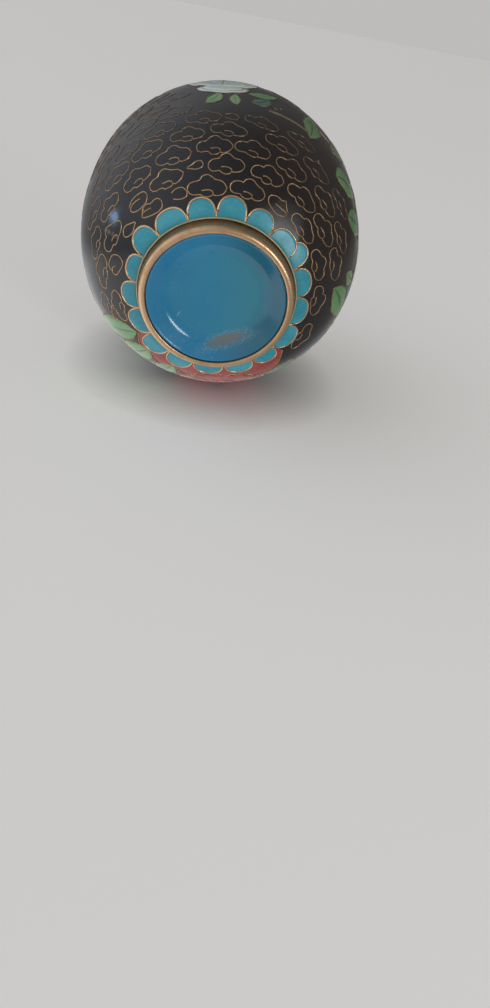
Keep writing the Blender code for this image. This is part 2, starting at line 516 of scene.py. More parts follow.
def gilt(name, bright, dark, roughness=0.3, scratches=1.0, paintedShadeUp=0.0, metal=1.0):
    # Copper-coloured gilding: tarnish in drifts, fine scratches round the axis, and painted shade that
    # makes it darker and browner further up the jar
    paint = Paint(name, Metallic=metal)
    radius = paint.fromAxis()
    lines = paint.vector(paint.x / radius * 3.0, paint.y / radius * 3.0, (radius + paint.z) * 7.0)
    fine = paint.noise(2.2, 4.0, lines, 0.65)
    tarnish = paint.noise(0.5, 4.0, roughness=0.6).between(0.42, 0.72)
    spots = paint.noise(2.4, 3.0).between(0.58, 0.74)
    colour = paint.mix((tarnish * 0.5 + spots * 0.35) * 0.9, bright, dark)
    worn = tuple(min(1.0, c * 1.35) for c in bright)
    colour = paint.mix(fine.between(0.55, 0.75) * 0.3 * scratches, colour, worn)
    # painted shade: darker and browner further up the jar
    colour = paint.mix(paint.z.between(2.2, 14.0) * paintedShadeUp, colour, (0.17, 0.13, 0.105))
    rough = tarnish * 0.14 + fine * 0.16 * scratches + roughness - 0.08
    paint.use(Base_Color=colour, Roughness=rough)
    paint.bump(fine * scratches * 0.7 + paint.noise(1.1, 2.0) * 0.5, 0.02)
    return paint


def footGilt():
    # The foot ring: a dull line round the middle of its lip, tarnish up its outer wall, and painted shade
    # that darkens its bore
    paint = gilt("footGilt", (0.72, 0.46, 0.26), (0.35, 0.21, 0.12), 0.28, metal=0.85)
    radius = paint.fromAxis()
    middle = (radius - 10.78).math("ABSOLUTE").between(0.3, 0.08) * paint.z.between(0.2, 0.0)
    colour = paint.mix(middle * 0.45, paint.used("Base Color"), (0.44, 0.28, 0.17))
    wall = paint.z.between(0.03, 0.6) * (radius - 10.8).between(0.0, 0.3)
    colour = paint.mix(wall * 0.6, colour, (0.38, 0.24, 0.13))
    # painted shade: the bore inside the ring, where the dish meets it, is darkened
    colour = paint.mix(radius.between(10.5, 10.36) * 0.85, colour, (0.07, 0.045, 0.03))
    paint.use(Base_Color=colour)
    return paint


paints = {
    "black": blackGround(),
    "petal": enamel("turquoiseEnamel", fromPicture(50, 139, 158), fromPicture(80, 166, 181), 0.26,
                    root=fromPicture(64, 145, 157), shine=0.3),
    "inside": enamel("insideEnamel", fromPicture(62, 130, 150), fromPicture(80, 150, 168), 0.25),
    "green": enamel("leafGreen", fromPicture(84, 134, 80), fromPicture(122, 164, 106),
                    root=fromPicture(50, 84, 50), rootReach=0.18),
    "pale": enamel("paleGreen", fromPicture(98, 150, 94), fromPicture(134, 176, 120),
                   root=fromPicture(64, 100, 66), rootReach=0.15),
    "teal": enamel("tealGreen", fromPicture(54, 100, 84), fromPicture(84, 132, 112),
                   root=fromPicture(30, 60, 50), rootReach=0.22),
    "red": enamel("redEnamel", fromPicture(138, 44, 46), fromPicture(176, 76, 72),
                  root=fromPicture(108, 30, 34)),
    "white": enamel("paleEnamel", fromPicture(176, 196, 184), fromPicture(226, 234, 226),
                    root=fromPicture(128, 160, 142)),
    "giltRing": gilt("giltRing", (0.80, 0.53, 0.31), (0.38, 0.23, 0.12), 0.32, metal=0.8),
    "footGilt": footGilt(),
    "giltWire": gilt("giltWire", (0.53, 0.33, 0.17), (0.25, 0.15, 0.08), 0.4, 0.3, 0.88, 0.85),
    "giltEdge": gilt("giltEdge", (0.82, 0.56, 0.32), (0.40, 0.25, 0.13), 0.34, 0.3, 0.5),
    "seam": gilt("giltSeam", (0.52, 0.42, 0.26), (0.22, 0.26, 0.18), 0.5, 0.3, metal=0.3),
}


# Body, inside, dish and rings

shell = {
    "under": ((0, 2.9), (10.35, 2.9), (10.55, 2.1)),  # radius and height, hidden by the dish and the ring
    "skin": (0.8, 3.05),  # how deep the black skin's back lies, and its lowest height
    "lining": (0.72, 3.0),  # the same for the lining's back, a little inside the skin
    "outerPoints": 190,
    "innerPoints": 90,
    "liningSteps": 144,
}


def insetOutline(offset, lowest):
    # The outside moved inwards by the offset, cut off below a height
    normal = np.column_stack([outsideWay[:, 1], -outsideWay[:, 0]])
    line = outside - normal * offset
    line = line[line[:, 1] > lowest]
    line[-1, 1] = jar["mouth"][1]
    return line


def buildBody():
    # A black skin outside and a turquoise lining inside, each closed on the axis
    outer = evenly(outside, shell["outerPoints"])
    inner = evenly(insetOutline(*shell["skin"]), shell["innerPoints"])
    skin = np.vstack([shell["under"], outer, inner[::-1], [(0, inner[0, 1])]])
    piece = turned("enamelBody", skin, jar["turnSteps"], paints["black"], False)
    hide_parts("body")
    front = evenly(insetOutline(jar["wall"], jar["floor"]), shell["innerPoints"])
    back = evenly(insetOutline(*shell["lining"]), shell["innerPoints"])
    corner = [(front[0, 0], jar["floor"]), (0, jar["floor"])]
    lining = np.vstack([[(0, back[0, 1])], back, front[::-1], corner])
    turned("insideEnamel", lining, shell["liningSteps"], paints["inside"], False)


dish = {
    "height": 2.2,  # of its flat middle above the table
    "flatRadius": 6.6,
    "bendRadius": 2.75,
    "slope": 38,  # degrees, of the band that runs to the ring
    "edgeRadius": 9.95,
    "edgeRounding": 0.25,
    "back": 2.95,  # height of its hidden side
    "points": (24, 22, 12, 10),  # along the flat, the bend, the band and the rounding
    "ripple": 0.02,
    "bandFrom": (5.6, 9.0),  # where the band's colour starts and is full
    "chipped": (-9.0, 3.5, 0.6),  # middle of the chipped part of the band
    "scuff": (-3.6, 6.45),  # a worn matt place: middle, way of its long side, half its length and width
    "scuffWay": (0.93, 0.37),
    "scuffSize": (3.0, 0.8),
    "scratch": ((-7.0, -1.2), (-5.85, -1.45)),
}


def dishPaint():
    # Greener in the flat middle and bluer on the band, with painted shade that makes it darker and
    # greyer on the right, a worn place, specks, chips and a scratch
    paint = Paint("dishEnamel", IOR=1.5)
    radius = paint.fromAxis()
    wander = paint.noise(0.18, 2.0) * 3.0 - 1.5
    band = (radius + wander * 0.6).between(*dish["bandFrom"])
    drift = paint.noise(0.16, 3.0).between(0.32, 0.68)
    grain = paint.noise(3.2, 2.0).between(0.28, 0.75)
    rightX, rightY, _ = room["rightWay"]
    # painted shade: towards the right the middle turns greyer and the band darker
    right = (paint.x * rightX + paint.y * rightY).between(-3.0, 7.0)
    middle = paint.mix(drift * 0.4 + grain * 0.6, fromPicture(22, 121, 157), fromPicture(42, 130, 161))
    middle = paint.mix(right * 0.8, middle, fromPicture(55, 127, 142))
    outer = paint.mix(drift * 0.5 + grain * 0.5, fromPicture(42, 128, 172), fromPicture(60, 138, 174))
    outer = paint.mix(right, outer, fromPicture(32, 100, 122))
    colour = paint.mix(band, middle, outer)
    pale = paint.specks(1.35, (0.05, 0.12), 0.6, (0.5, 0.64))
    low = paint.far(dish["chipped"]).between(8.0, 3.0) * radius.between(7.8, 9.0)
    chips = paint.specks(1.9, (0.1, 0.2), 1.3, (0.45, 0.6)) * low
    colour = paint.mix(pale * 0.55 + chips * 0.8, colour, (0.36, 0.52, 0.55))
    dark = paint.specks(0.85, (0.03, 0.08), 0.5, (0.5, 0.62))
    colour = paint.mix(dark * 0.7, colour, (0.01, 0.03, 0.035))
    along, across = dish["scuffWay"]
    offX, offY = paint.x - dish["scuff"][0], paint.y - dish["scuff"][1]
    longWay = (offX * along + offY * across) / dish["scuffSize"][0]
    shortWay = (offY * along - offX * across) / dish["scuffSize"][1]
    reach = (longWay * longWay + shortWay * shortWay) ** 0.5 + (paint.noise(1.4, 3.0) - 0.5) * 0.9
    worn = reach.between(1.3, 0.55)
    dusty = reach.between(1.9, 1.0) * (1 - worn) * paint.noise(4.5, 2.0).between(0.42, 0.66)
    colour = paint.mix(dusty * 0.55, colour, (0.30, 0.42, 0.43))
    colour = paint.mix(worn * 0.85, colour, (0.17, 0.165, 0.145))
    (startX, startY), (endX, endY) = dish["scratch"]
    length = math.hypot(endX - startX, endY - startY)
    wayX, wayY = (endX - startX) / length, (endY - startY) / length
    fromX, fromY = paint.x - startX, paint.y - startY
    onLine = fromX * wayX + fromY * wayY
    offLine = (fromY * wayX - fromX * wayY).math("ABSOLUTE")
    scratch = offLine.between(0.11, 0.03) * onLine.between(0.0, 0.3) * onLine.between(length, length - 0.3)
    colour = paint.mix(scratch * 0.5, colour, (0.4, 0.52, 0.55))
    rough = paint.noise(0.5, 3.0).between(0.4, 0.8) * 0.05 + worn * 0.35 + dusty * 0.2 + 0.13
    paint.use(Base_Color=colour, Roughness=rough)
    waves = paint.noise(0.22, 1.0) * 0.7 - scratch * 0.3 - dark * 0.3 - worn * grain * 0.25
    paint.bump(waves + paint.noise(3.0, 2.0) * 0.02, 0.05)
    return paint


def dishOutline():
    # From the middle outwards: flat, an arc, the straight band and its rounded edge at the ring
    slope = math.radians(dish["slope"])
    flatPoints, bendPoints, bandPoints, lipPoints = dish["points"]
    flat = np.linspace((0, dish["height"]), (dish["flatRadius"], dish["height"]), flatPoints)
    angle = np.linspace(0, slope, bendPoints)[1:]
    bend = np.column_stack([
        dish["flatRadius"] + dish["bendRadius"] * np.sin(angle),
        dish["height"] - dish["bendRadius"] * (1 - np.cos(angle)),
    ])
    run = dish["edgeRadius"] - bend[-1, 0]
    edge = bend[-1] + run * np.array([1, -math.tan(slope)])
    band = np.linspace(bend[-1], edge, bandPoints)[1:]
    turnAngle = np.linspace(-slope, math.pi / 2, lipPoints)[1:]
    start = edge + dish["edgeRounding"] * np.array([math.sin(slope), math.cos(slope)])
    lip = start + dish["edgeRounding"] * np.column_stack([np.sin(turnAngle), -np.cos(turnAngle)])
    return np.vstack([flat, bend, band, lip, [(lip[-1, 0], dish["back"]), (0, dish["back"])]])


def dishRipple(points):
    # Slow unevenness of poured enamel, none at the pole: z + ripple (sin cos + 0.6 sin) of x and y
    x, y = points[..., 0], points[..., 1]
    wave = np.sin(0.55 * x + 0.9) * np.cos(0.48 * y - 0.4) + 0.6 * np.sin(0.31 * x - 0.72 * y)
    share = np.clip(np.hypot(x, y) / 3, 0, 1)
    points[..., 2] += dish["ripple"] * wave * share * (points[..., 2] < 2.8)
    return points


foot = {
    "lipRadius": 11.3,
    "innerRadius": 10.3,
    "topRadius": footHigh.x / mm,
    "height": footHigh.z / mm,
    "root": 2.35,  # where the ring ends under the enamel
    "outerRounding": 0.6,
    "innerRounding": 0.3,
    "ripple": 0.03,
}
rim = {"outer": rimHigh.x / mm, "top": rimHigh.z / mm, "bottom": 44.32, "rounding": 0.45}
seam = {"radius": 11.72, "height": 2.1, "thickness": 0.26, "points": 10, "steps": 180}


def footRipple(points):
    # The hand-filed ring is a little uneven: radius + ripple (sum of three sines of the turn) / 2.2 in
    # its bore, and inwards only on its outer side
    turn = np.arctan2(points[..., 1], points[..., 0])
    radius = np.hypot(points[..., 0], points[..., 1])
    wave = np.sin(3 * turn + 0.4) + 0.7 * np.sin(7 * turn + 2.0) + 0.5 * np.sin(13 * turn)
    inner = radius < (foot["lipRadius"] + foot["innerRadius"]) / 2
    shift = foot["ripple"] * np.where(inner, wave, -np.abs(wave)) / 2.2
    points[..., :2] *= (1 + shift / radius)[..., None]
    return points


def buildRings():
    # The foot ring, the mouth rim, the thin line of solder round the foot, and the dish
    lean = (foot["topRadius"] - foot["lipRadius"]) / foot["height"]
    ring = roundedOutline([
        (foot["lipRadius"] + lean * foot["root"], foot["root"], 0),
        (foot["lipRadius"], 0, foot["outerRounding"]),
        (foot["innerRadius"], 0, foot["innerRounding"]),
        (foot["innerRadius"], foot["root"], 0),
    ])
    piece = turned("footRing", ring, jar["turnSteps"], paints["footGilt"], ripple=footRipple)
    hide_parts("foot_ring")
    bore = jar["mouth"][0] - jar["wall"]
    band = roundedOutline([
        (rim["outer"], rim["top"], rim["rounding"]),
        (rim["outer"], rim["bottom"], rim["rounding"]),
        (bore, rim["bottom"], 0),
        (bore, rim["top"], rim["rounding"]),
    ])
    piece = turned("mouthRim", band, jar["turnSteps"], paints["giltRing"])
    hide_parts("mouth_rim")
    angle = np.linspace(0, math.tau, seam["points"], endpoint=False)
    circle = seam["thickness"] / 2 * np.column_stack([np.cos(angle), np.sin(angle)])
    middle = (seam["radius"], seam["height"])
    turned("footSeam", circle + middle, seam["steps"], paints["seam"])
    turned("dishEnamel", dishOutline(), jar["turnSteps"], dishPaint(), False, dishRipple)


# Scallops round the foot and the neck

scallops = {
    "cusps": (-151, -130.7, -110.7, -91, -68.1, -49.2, -29.8, -11, 3.0, 19.7, 41, 62.7, 85, 104,
              125.7, 148, 167.7, 187.7, 209),
    "lapping": -11,  # where the petal begins that lies over the next one
    "lapped": 3.0,
    "lappingEnd": 10.3,
    "lappedFrom": 4.8,  # from where the next petal's wire shows
    "cuspArc": 0.42,
    "peakArcs": (2.6, 2.1, 3.0, 2.5, 2.64, 2.95, 2.64, 2.5, 3.2, 2.5, 2.36, 2.73, 3.0, 3.2, 3.2, 3.6,
                 3.7, 2.73),
    "fullness": 2.25,
    "gap": 1.2,  # degrees between two petals
    "floorArc": -0.02,  # where their enamel starts
    "lapLift": 0.012,
    "wireWidth": 0.27,
    "petalPoints": (7, 25),  # outwards and across
    "wirePoints": 31,
    "stemArcs": (-0.03, 1.0),  # the wire between two petals, and how wide it is at its ends
    "stemWidths": (0.22, 0.56),
    "stemPoints": 5,
    "collarCount": 18,  # petals under the neck, hanging down from an arc
    "collarArc": neckArc - 0.35,
    "collarDepth": 2.6,
    "collarGap": 1.0,
    "collarRoot": 0.5,  # how far below its arc a petal starts to narrow
    "collarStem": 1.0,
    "ringSteps": 144,
    "ringWires": ((neckArc - 0.35, 0.4), (neckArc + 1.2, 0.3), (mouthArc - 1.0, 0.3)),  # arc and width
}


def scallopEdge(start, end, rootArc, peakArc, count):
    # A round-topped petal's outline: arc = root + (peak - root) (1 - |u|^n)^(1/n), u from -1 to 1
    angle = np.linspace(0, math.pi, count)
    n = scallops["fullness"]
    u = -np.sign(np.cos(angle)) * np.abs(np.cos(angle)) ** (2 / n)
    rise = np.abs(np.sin(angle)) ** (2 / n)
    return (start + end) / 2 + (end - start) / 2 * u, rootArc + (peakArc - rootArc) * rise


def addScallop(cells, wires, start, end, rootArc, peakArc, floorArc, lift=0.0, wireFrom=None):
    # A petal's enamel from the floor's arc to its edge, and the wire along that edge
    rows, columns = scallops["petalPoints"]
    turns, arcs = scallopEdge(start, end, rootArc, peakArc, columns)
    share = np.linspace(0, 1, rows)[:, None]
    gridTurn = turns + 0 * share
    gridArc = floorArc + (arcs - floorArc) * share
    addCell(cells, gridTurn, gridArc, share + 0 * turns, wire["cellLift"] + lift)
    turns, arcs = scallopEdge(start, end, rootArc, peakArc, scallops["wirePoints"])
    shown = turns > (start - 1 if wireFrom is None else wireFrom)
    addWire(wires, turns[shown], arcs[shown], width=scallops["wireWidth"])


def buildScallops():
    # A row of petals round the foot, a smaller one under the neck, and the neck's ring wires
    cells, wires = Heap(), Heap()
    cusps = scallops["cusps"]
    gap = scallops["gap"] / 2
    for start, end, peak in zip(cusps, cusps[1:], scallops["peakArcs"]):
        laps = start == scallops["lapping"]
        lapped = start == scallops["lapped"]
        addScallop(cells, wires, start + gap, (scallops["lappingEnd"] if laps else end) - gap,
                   scallops["cuspArc"], peak, scallops["floorArc"], scallops["lapLift"] if laps else 0.0,
                   scallops["lappedFrom"] if lapped else None)
    points = scallops["stemPoints"]
    stem = np.linspace(*scallops["stemWidths"], points)[:, None]
    for cusp in (c for c in cusps[:-1] if c != scallops["lapped"]):
        addWire(wires, np.full(points, cusp), np.linspace(*scallops["stemArcs"], points), width=stem)
    step = 360 / scallops["collarCount"]
    root = scallops["collarArc"]
    gap = scallops["collarGap"] / 2
    for i in range(scallops["collarCount"]):
        addScallop(cells, wires, i * step + gap, (i + 1) * step - gap, root - scallops["collarRoot"],
                   root - scallops["collarDepth"], root)
        arcs = np.linspace(root, root - scallops["collarStem"], points)
        addWire(wires, np.full(points, i * step), arcs, width=stem)
    turns = np.linspace(0, 360, scallops["ringSteps"], endpoint=False)
    for arc, width in scallops["ringWires"]:
        addWire(wires, turns, np.full(len(turns), arc), width=width, closed=True)
    cells.make("scallopCells", paints["petal"], "turquoise_enamel")
    wires.make("scallopWires", paints["giltEdge"], "gilt_wire")


# Clouds

clouds = {
    # the wire's way in mm, sideways and up the jar, from the curled end in the middle
    "wire": ((-0.75, -0.45), (-0.2, -0.38), (0.4, -0.45), (0.75, -0.78), (0.5, -1.15), (0, -1.3),
             (-0.6, -1.2), (-0.96, -0.88), (-1.5, -0.88), (-2.25, -0.77), (-2.65, -0.09), (-2.3, 0.54),
             (-1.43, 0.71), (-1.1, 0.62), (-0.75, 1.15), (0.2, 1.33), (1.15, 0.75), (1.75, 0.75), (2.5, 0),
             (2.0, -0.78), (1.25, -1.05), (0.64, -1.02)),
    "spiral": ((-0.16, -0.06), (-0.86, 0.37), (-1.48, 0.23), (-1.53, -0.4), (-0.62, -0.9), (0.62, -1.2),
               (1.48, -0.77), (1.64, -0.06), (1.17, 0.74), (0.16, 1.08), (-0.78, 1.02), (-1.28, 0.5)),
    "twoLobes": ((0.0, 0.05), (-0.8, 0.25), (-1.55, 0.2), (-1.8, -0.15), (-0.95, -0.55), (0.45, -0.9),
                 (1.45, -0.75), (1.85, 0.0), (1.45, 0.65), (0.85, 0.75), (0.3, 0.5), (-0.25, 0.85),
                 (-0.95, 0.8), (-1.55, 0.3)),
    "squashed": ((-1.75, 0.2), (-0.6, 0.75), (0.8, 0.85), (1.65, 0.7), (1.75, 0.1), (1.2, -0.6),
                 (-0.2, -0.85), (-1.4, -0.6), (-1.55, -0.1), (-0.6, 0.3), (0.5, 0.3)),
    "curlRight": ((-0.55, -0.05), (0.5, -0.15), (1.45, -0.2), (1.6, -0.6), (0.5, -1.05), (-0.9, -0.75),
                  (-1.6, -0.2), (-1.6, 0.5), (-0.7, 0.95), (0.1, 0.8), (0.55, 1.05), (1.15, 0.5),
                  (1.6, 0.0)),
    "drop": ((1.45, -0.05), (0.6, 0.3), (-0.2, 0.65), (-1.1, 0.55), (-1.4, 0.0), (-0.9, -0.5),
             (0.0, -0.6), (0.8, -0.3), (1.45, -0.15)),
    "open": ((-1.1, 0.45), (-0.3, 0.75), (0.6, 0.6), (1.1, -0.1), (0.75, -0.65), (-0.1, -0.75),
             (-1.1, -0.4)),
    "points": 32,
    "width": 0.155,  # of the wire
    "spacing": 5.75,
    "rowHeight": 2.72,
    "scatter": (0.06, 0.15),  # of their places: share of the spacing, and mm up or down
    "wander": 0.07,  # of the wire's points, in mm
    "stretch": ((0.93, 1.06), (0.94, 1.08)),  # sideways and upwards
    "lean": 4,  # degrees at most
    "firstRow": 4.1,
    "lastRow": 43.0,
    "room": (4.5, 2.35),  # kept free round each cloud's centre, sideways and upwards
    "clear": (2.9, 2.32),  # kept free of flowers and leaves
    "seed": 4,
    # turns of each row that shows, then its arc at each
    "rows": (
        ((-150.7, 4.0), (-54, 4.0), (-33, 4.3), (2.3, 4.4), (24.3, 4.15), (45.8, 3.9), (71, 4.1)),
        ((-153, 7.0), (-133.3, 6.5), (-112.7, 5.9), (-73.3, 6.2), (-45, 7.0), (-26, 7.1), (-7.3, 7.3),
         (11, 7.1), (29.3, 7.3)),
        ((-122.3, 8.7), (-104.3, 8.8), (-86, 8.55), (-67.7, 9.0), (-50.3, 9.6), (-34.7, 9.9), (-17, 9.8),
         (3, 10), (20.3, 9.8)),
        ((-113.3, 11.5), (-94.3, 11.5), (-78.3, 11.7), (-61, 11.8), (-45, 12.4), (-23.7, 12.7),
         (-7, 12.7), (10, 12.8)),
        ((-103.7, 14.4), (-87, 14.1), (-71.7, 14.4), (-54.7, 14.8), (-33, 15.2), (-16.3, 15.7)),
        ((-97, 17), (-79.7, 17.2), (-65.7, 17.5)),
    ),
    # shape, turn, arc and size of the odd ones
    "odd": (("spiral", -125.7, 3.9, 1.0), ("drop", -103, 3.9, 1.0), ("twoLobes", -86, 3.7, 1.0),
            ("squashed", -90.7, 5.5, 1.0), ("open", -69, 3.75, 1.0), ("curlRight", -16, 4.15, 1.0),
            ("drop", -59, 6.85, -0.85), ("open", -44.5, 15.0, 0.9)),
    "seenFrom": -160,  # between these turns, and below this arc, the clouds are where the picture has them
    "seenTo": 80,
    "seenArc": 18.6,
}


def crowded(turn, arc, places, room):
    # Whether a place lies within an ellipse round the turn and arc, by its reach sideways and upwards
    turns, arcs = np.array(places).T
    across = np.radians(np.remainder(turns - turn + 180, 360) - 180) * radiusAt(arc)
    return (np.hypot(across / room[0], (arcs - arc) / room[1]) < 1).any()


def cloudPlaces(drawn):
    # The clouds that show, and rows by rule elsewhere, wherever a row has room beside the picture
    places = [place for row in clouds["rows"] for place in row]
    taken = places + [(turn, arc) for _, turn, arc, _ in clouds["odd"]]
    random = np.random.default_rng(clouds["seed"])
    sideways, upwards = clouds["scatter"]
    rowCount = int((clouds["lastRow"] - clouds["firstRow"]) / clouds["rowHeight"]) + 1
    for row in range(rowCount):
        rowArc = clouds["firstRow"] + row * clouds["rowHeight"]
        count = round(math.tau * radiusAt(rowArc) / clouds["spacing"])
        for i in range(count):
            turn = (i + 0.5 * (row % 2) + random.uniform(-sideways, sideways)) * 360 / count - 180
            arc = rowArc + random.uniform(-upwards, upwards)
            if clouds["seenFrom"] < turn < clouds["seenTo"] and arc < clouds["seenArc"]:
                continue
            if crowded(turn, arc, taken, clouds["room"]) or crowded(turn, arc, drawn, clouds["clear"]):
                continue
            places.append((turn, arc))
            taken.append((turn, arc))
    return places


def buildClouds(drawn):
    # Each cloud is one wire, bent a little differently; a size below 0 turns it upside down
    heap = Heap()
    places = cloudPlaces(drawn)
    random = np.random.default_rng(clouds["seed"] + 1)
    shapes = [("wire", turn, arc, 1.0) for turn, arc in places] + list(clouds["odd"])
    for shape, turn, arc, size in shapes:
        controls = np.array(clouds[shape])
        controls = controls + random.uniform(-1, 1, controls.shape) * clouds["wander"]
        stretch = [random.uniform(*ends) for ends in clouds["stretch"]]
        lean = math.radians(random.uniform(-clouds["lean"], clouds["lean"]))
        x, y = smoothLine(controls * stretch, clouds["points"]).T * size
        y = y * math.copysign(1, size)
        addWire(heap, *near(turn, arc, x * math.cos(lean) - y * math.sin(lean),
                            x * math.sin(lean) + y * math.cos(lean)), width=clouds["width"])
    heap.make("cloudWires", paints["giltWire"], "gilt_wire")
    print("clouds:", len(shapes))


# Flowers and leaves

picture = {
    "pieces": {  # name and slot of each colour's cells
        "white": ("whitePetals", "white_enamel"),
        "red": ("redPetals", "red_enamel"),
        "green": ("greenLeaves", "green_enamel"),
        "teal": ("tealLeaves", "green_enamel"),
        "pale": ("paleLeaves", "green_enamel"),
    },
    # turn and arc of the middle, reach in mm, and turn in radians; each ring of petals has their count
    # and the shares of the reach where they start and end
    "flowers": (
        {"colour": "white", "place": (-48.8, 28.9), "reach": 5.5, "turnBy": 0.0, "flat": 1.0,
         "drop": 0.36, "close": 0.93, "lobes": 0.02,
         "rings": ((4, 0.3, 1.0), (5, 0.15, 0.8), (5, 0.1, 0.55), (4, 0.0, 0.3))},
        {"colour": "red", "place": (131, 11.6), "reach": 8.3, "turnBy": 0.17,
         "rings": ((9, 0.5, 1.0), (7, 0.28, 0.74), (5, 0.1, 0.48))},
        {"colour": "white", "place": (62, 31.5), "reach": 5.0, "turnBy": 0.5,
         "rings": ((6, 0.35, 1.0), (5, 0.1, 0.6))},
        {"colour": "red", "place": (-150, 31.0), "reach": 4.6, "turnBy": 0.2,
         "rings": ((6, 0.35, 1.0), (5, 0.1, 0.6))},
    ),
    # how flat they are up the jar, how much longer the lower petals are, how wide the outer ring's
    # petals are, and how lobed all are
    "plainFlower": {"flat": 0.95, "drop": 0.0, "close": 1.0, "lobes": 0.05},
    "heart": 0.12,  # a flower's ring of wire in the middle, as a share of its reach
    "overlap": 1.04,  # of petals that start away from the middle
    "uneven": 0.08,  # how much their reach differs, as a share of it
    "petalRoot": 0.72,  # width where they start, as a share of the full one
    "petalPoints": (6, 17),  # outwards and across
    "wirePoints": (30, 16),  # round a petal and round the heart
    # colour, base, tip, width and bend in mm
    "leaves": (
        ("pale", (-50, 22.2), (-54.3, 18.3), 2.3, 0.4), ("pale", (-44, 22.0), (-43, 18.2), 1.7, -0.2),
        ("pale", (-27.5, 25.6), (-39.5, 23.0), 2.2, 0.4), ("teal", (-31.5, 23.0), (-37.5, 19.8), 2.5, 0.4),
        ("green", (-12.5, 27.8), (-13.4, 18.1), 3.4, 0.3), ("green", (8, 26.0), (-1, 21.6), 3.4, -0.4),
        ("green", (19, 20.5), (2.6, 15.9), 4.9, -0.6), ("green", (28.5, 19.5), (16.5, 13.4), 4.3, 0.5),
        ("green", (46, 13.8), (38, 10.5), 2.6, 0.3), ("green", (62, 12.2), (43, 6.9), 4.6, -0.4),
        ("green", (84, 15.5), (66, 12.6), 3.6, 0.6), ("teal", (106, 9.0), (87, 8.0), 3.0, 0.6),
        ("pale", (159.5, 11.5), (158.5, 4.0), 3.8, 0.3), ("pale", (175.5, 13), (176, 3.7), 5.4, 0.3),
        ("pale", (192, 14), (191, 2.9), 5.2, 0.5), ("green", (199, 14), (210, 17.5), 3.4, -0.5),
        ("green", (100, 20.5), (84, 24.0), 3.8, 0.6), ("green", (112, 21.5), (117, 28.0), 3.8, -0.6),
        ("teal", (150, 19.5), (158, 25.0), 3.4, 0.5), ("green", (163, 17.5), (177, 21.5), 3.6, -0.5),
        ("green", (50, 26.5), (36, 23.5), 3.2, 0.5), ("teal", (74, 27.5), (84, 30.5), 3.0, 0.4),
        ("green", (62, 36.5), (58, 41.5), 3.0, 0.4), ("green", (50, 34.5), (36, 37.0), 3.0, -0.4),
        ("green", (-45, 33.5), (-52, 38.5), 3.4, 0.4), ("teal", (-36, 33.5), (-27, 37.5), 3.0, -0.4),
        ("green", (-62, 30.0), (-77, 33.5), 3.4, 0.5),
        ("green", (-158, 27.0), (-170, 24.0), 3.0, 0.4), ("teal", (-142, 27.0), (-130, 25.0), 3.0, 0.4),
        ("green", (-150, 35.5), (-141, 40.0), 3.0, 0.4), ("green", (-160, 34.5), (-175, 36.5), 2.8, 0.3),
    ),
    # stems from place to place, with a bend in mm
    "stems": (
        ((-31, 19.0), (-14.2, 19.4), 0.2), ((-14.5, 24.0), (16, 22.0), 1.0), ((16, 22.0), (30, 16.5), -0.8),
        ((30, 16.5), (45, 12.5), 0.5), ((16, 22.0), (50, 29.0), 1.2), ((84, 24), (72, 29), 0.8),
        ((118, 20.0), (84, 24.5), -0.8), ((150, 20.0), (196, 26.5), 1.2), ((196, 26.5), (205, 29.0), 0.5),
    ),
    "leafPoints": (7, 15),  # across and along
    "leafWirePoints": 36,
    "leafTip": 0.03,  # half the width at its ends
    "stemHalf": 0.2,  # half its width
    "stemWire": 0.2,
    "stemTone": 0.2,
    "edgeWire": 0.15,
    "layer": 0.012,  # by how much each ring of petals lies above the one outside it
    # the red ground round the foot, behind the flower: its top arc at each turn
    "skirt": ((84, 2.6), (88, 3.6), (95, 5.4), (105, 6.4), (115, 6.5), (140, 6.2), (150, 5.8), (155, 4.6),
              (160, 4.4), (165, 6.3), (170, 5.4), (175, 4.6), (180, 4.8), (186, 3.6), (190, 2.6)),
    "skirtLow": 0.4,
    "skirtLift": 0.015,
    "skirtPoints": (9, 100),  # upwards and round
}


def addFlower(cells, wires, flower, drawn):
    # Rings of petals, the outer ones lowest; a petal's edge: reach (1 - 0.14 u^2 + lobes cos 3 pi u),
    # with u from -1 to 1 across it
    flower = {**picture["plainFlower"], **flower}
    turn, arc = flower["place"]
    rows, columns = picture["petalPoints"]
    share = np.linspace(0, 1, rows)[:, None]
    spreads = picture["petalRoot"] + (1 - picture["petalRoot"]) * share
    across = np.linspace(-1, 1, columns)
    edge = 1 - 0.14 * across**2 + flower["lobes"] * np.cos(3 * math.pi * across)
    for ring, (count, inner, outer) in enumerate(flower["rings"]):
        for i in range(count):
            angle = math.tau * (i + 0.5 * (ring % 2)) / count + flower["turnBy"]
            spread = math.pi / count * (picture["overlap"] if inner else 1) * spreads
            spread *= 1 if ring else flower["close"]
            size = flower["reach"] * (1 + picture["uneven"] * math.sin(5.3 * i + 2 * ring))
            size *= 1 - flower["drop"] * math.cos(angle)
            reach = size * (inner + (outer * edge - inner) * share)
            x = reach * np.sin(angle + spread * across)
            y = reach * np.cos(angle + spread * across) * flower["flat"]
            places = near(turn, arc, x, y)
            addCell(cells, *places, share + 0 * across, wire["cellLift"] + picture["layer"] * (ring + 1))
            outline = np.vstack([
                np.stack([x[:, 0], y[:, 0]], 1),
                np.stack([x[-1, 1:], y[-1, 1:]], 1),
                np.stack([x[-2::-1, -1], y[-2::-1, -1]], 1),
            ])
            addWire(wires, *near(turn, arc, *evenly(outline, picture["wirePoints"][0]).T))
            drawn.append(np.stack([places[0][-1], places[1][-1]], 1))
    heart = np.linspace(0, math.tau, picture["wirePoints"][1], endpoint=False)
    small = flower["reach"] * picture["heart"]
    addWire(wires, *near(turn, arc, small * np.sin(heart), small * np.cos(heart)), closed=True)
    drawn.append(np.array([[turn, arc]]))


